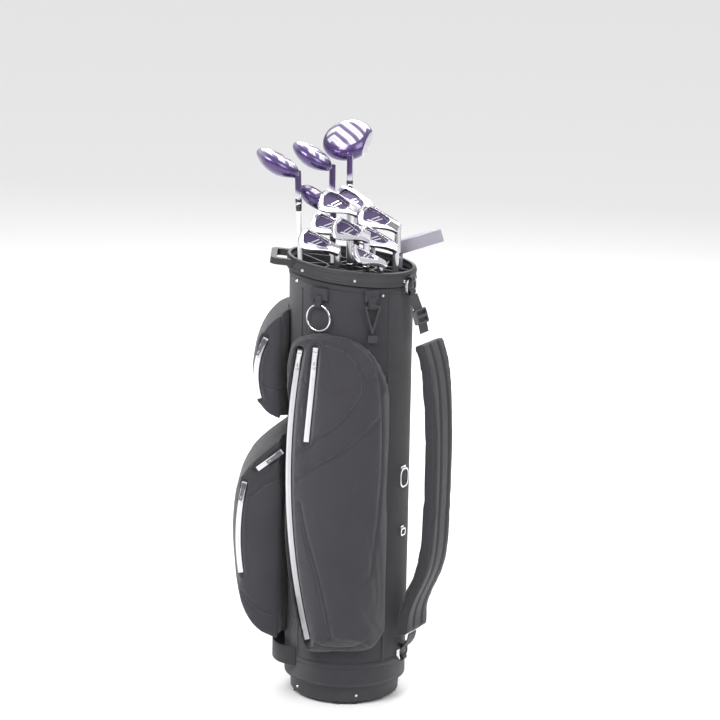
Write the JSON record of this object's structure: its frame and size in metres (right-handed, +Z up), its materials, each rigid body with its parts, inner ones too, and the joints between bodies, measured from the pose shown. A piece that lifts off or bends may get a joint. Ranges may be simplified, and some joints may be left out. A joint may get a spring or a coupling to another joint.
{
  "type": "golf club set",
  "caption": "Dark nylon golf cart bag standing upright, with padded pockets, a padded shoulder strap and a right-handed set of woods, irons and a putter in its divided top.",
  "frame": {"origin": "centre of the bag's underside, on the floor", "axes": "+Z up along the bag's tube; -Y to the front, where the long apparel pocket is; -X to the ball pocket; +X to the shoulder strap side"},
  "size_m": [0.4469, 0.3821, 1.1585],
  "materials": {
    "white_shaft": "gloss",
    "steel_shaft": "polished",
    "putter_steel": "matte",
    "painted_head": "gloss",
    "chrome_head": "polished",
    "zip_tape": "matte",
    "zip_metal": "satin",
    "bag_fabric": "matte",
    "strap_fabric": "matte",
    "webbing": "matte",
    "chrome_hardware": "polished",
    "rubber_feet": "matte",
    "foam": "matte",
    "stay_steel": "satin",
    "buckle_metal": "satin",
    "clip_plastic": "satin",
    "moulded_plastic": "matte"
  },
  "bodies": {
    "bag": {"apparel_pocket": "bag_fabric", "apparel_zip_tape": "zip_tape", "bag_body": "bag_fabric", "ball_pocket": "bag_fabric", "ball_top_zip_tape": "zip_tape", "ball_zip_tape": "zip_tape", "base_cup": "moulded_plastic", "base_feet": "rubber_feet", "club_divider": "moulded_plastic", "cuff_handle": "moulded_plastic", "floor_pad": "foam", "lower_handle": "webbing", "rivets_and_snaps": "chrome_hardware", "stay_rods": "stay_steel", "strap_buckle": "buckle_metal", "strap_pad": "strap_fabric", "strap_rings": "chrome_hardware", "strap_webbing": "webbing", "top_cuff": "moulded_plastic", "upper_pocket": "bag_fabric", "upper_zip_tape": "zip_tape", "valuables_zip_tape": "zip_tape", "webbing_tabs": "webbing"},
    "driver": {"driver_head": "painted_head", "driver_shaft": "white_shaft"},
    "fairway_wood_3": {"fairway_wood_3_head": "painted_head", "fairway_wood_3_shaft": "white_shaft"},
    "fairway_wood_5": {"fairway_wood_5_head": "painted_head", "fairway_wood_5_shaft": "white_shaft"},
    "hybrid": {"hybrid_head": "painted_head", "hybrid_shaft": "white_shaft"},
    "iron_5": {"iron_5_head": "chrome_head", "iron_5_shaft": "steel_shaft"},
    "iron_6": {"iron_6_head": "chrome_head", "iron_6_shaft": "steel_shaft"},
    "iron_7": {"iron_7_head": "chrome_head", "iron_7_shaft": "steel_shaft"},
    "iron_8": {"iron_8_head": "chrome_head", "iron_8_shaft": "steel_shaft"},
    "iron_9": {"iron_9_head": "chrome_head", "iron_9_shaft": "steel_shaft"},
    "pitching_wedge": {"pitching_wedge_head": "chrome_head", "pitching_wedge_shaft": "steel_shaft"},
    "gap_wedge": {"gap_wedge_head": "chrome_head", "gap_wedge_shaft": "steel_shaft"},
    "sand_wedge": {"sand_wedge_head": "chrome_head", "sand_wedge_shaft": "steel_shaft"},
    "putter": {"putter_head": "putter_steel", "putter_shaft": "steel_shaft"},
    "apparel_zip_slider": {"apparel_zip_slider": "zip_metal"},
    "apparel_zip_pull": {"apparel_zip_pull": "zip_metal"},
    "valuables_zip_slider": {"valuables_zip_slider": "zip_metal"},
    "valuables_zip_pull": {"valuables_zip_pull": "zip_metal"},
    "upper_zip_slider": {"upper_zip_slider": "zip_metal"},
    "ball_zip_slider": {"ball_zip_slider": "zip_metal"},
    "ball_top_zip_slider": {"ball_top_zip_slider": "zip_metal"},
    "towel_ring": {"towel_ring": "chrome_hardware"},
    "clip_loop": {"clip_loop": "clip_plastic", "accessory_clip": "clip_plastic"}
  },
  "joints": [
    {"name": "driver_lift", "type": "slide", "parent": "bag", "child": "driver", "axis": [-0.001, 0.0202, 0.9998], "range_m": [0, 0.9]},
    {"name": "fairway_wood_3_lift", "type": "slide", "parent": "bag", "child": "fairway_wood_3", "axis": [-0.039, -0.0008, 0.9992], "range_m": [0, 0.9]},
    {"name": "fairway_wood_5_lift", "type": "slide", "parent": "bag", "child": "fairway_wood_5", "axis": [-0.0057, 0.0266, 0.9996], "range_m": [0, 0.9]},
    {"name": "hybrid_lift", "type": "slide", "parent": "bag", "child": "hybrid", "axis": [-0.0052, 0.0053, 1], "range_m": [0, 0.9]},
    {"name": "iron_5_lift", "type": "slide", "parent": "bag", "child": "iron_5", "axis": [0.0011, 0.0017, 1], "range_m": [0, 0.9]},
    {"name": "iron_6_lift", "type": "slide", "parent": "bag", "child": "iron_6", "axis": [0.0057, 0.0063, 1], "range_m": [0, 0.9]},
    {"name": "iron_7_lift", "type": "slide", "parent": "bag", "child": "iron_7", "axis": [0.0038, -0.0104, 0.9999], "range_m": [0, 0.9]},
    {"name": "iron_8_lift", "type": "slide", "parent": "bag", "child": "iron_8", "axis": [0.0122, 0.0008, 0.9999], "range_m": [0, 0.9]},
    {"name": "iron_9_lift", "type": "slide", "parent": "bag", "child": "iron_9", "axis": [-0.0005, -0.0046, 1], "range_m": [0, 0.9]},
    {"name": "pitching_wedge_lift", "type": "slide", "parent": "bag", "child": "pitching_wedge", "axis": [-0.0039, -0.0097, 0.9999], "range_m": [0, 0.9]},
    {"name": "gap_wedge_lift", "type": "slide", "parent": "bag", "child": "gap_wedge", "axis": [0.0118, -0.004, 0.9999], "range_m": [0, 0.9]},
    {"name": "sand_wedge_lift", "type": "slide", "parent": "bag", "child": "sand_wedge", "axis": [0.0077, -0.0119, 0.9999], "range_m": [0, 0.9]},
    {"name": "putter_lift", "type": "slide", "parent": "bag", "child": "putter", "axis": [0.0129, 0.0052, 0.9999], "range_m": [0, 0.9]},
    {"name": "apparel_zip_slide", "type": "hinge", "parent": "bag", "child": "apparel_zip_slider", "pos_m": [1.37467, -0.106, 0.49568], "axis": [0, -1, 0], "range_deg": [0, 20.6]},
    {"name": "apparel_zip_pull_swing", "type": "hinge", "parent": "apparel_zip_slider", "child": "apparel_zip_pull", "pos_m": [-0.1004, -0.1115, 0.73362], "axis": [-0.9863, 0, 0.1649], "range_deg": [0, 105]},
    {"name": "valuables_zip_slide", "type": "slide", "parent": "bag", "child": "valuables_zip_slider", "axis": [-0.083, 0, -0.9965], "range_m": [0, 0.138]},
    {"name": "valuables_zip_pull_swing", "type": "hinge", "parent": "valuables_zip_slider", "child": "valuables_zip_pull", "pos_m": [-0.06871, -0.1435, 0.74353], "axis": [-0.9965, 0, 0.083], "range_deg": [0, 130]},
    {"name": "upper_zip_slide", "type": "hinge", "parent": "bag", "child": "upper_zip_slider", "pos_m": [-0.02752, -0.077, 0.67983], "axis": [0, -1, 0], "range_deg": [0, 38.3]},
    {"name": "ball_zip_slide", "type": "hinge", "parent": "bag", "child": "ball_zip_slider", "pos_m": [0.28171, -0.09, 0.35147], "axis": [0, -1, 0], "range_deg": [0, 19.81]},
    {"name": "ball_top_zip_slide", "type": "slide", "parent": "bag", "child": "ball_top_zip_slider", "axis": [-0.7962, 0, -0.6051], "range_m": [0, 0.022]},
    {"name": "towel_ring_swing", "type": "hinge", "parent": "bag", "child": "towel_ring", "pos_m": [-0.06399, -0.11545, 0.834], "axis": [-0.8746, 0.4848, 0], "range_deg": [0, 95]},
    {"name": "clip_loop_swing", "type": "hinge", "parent": "bag", "child": "clip_loop", "pos_m": [0.04297, -0.12481, 0.834], "axis": [-0.9455, -0.3256, 0], "range_deg": [0, 80]}
  ]
}
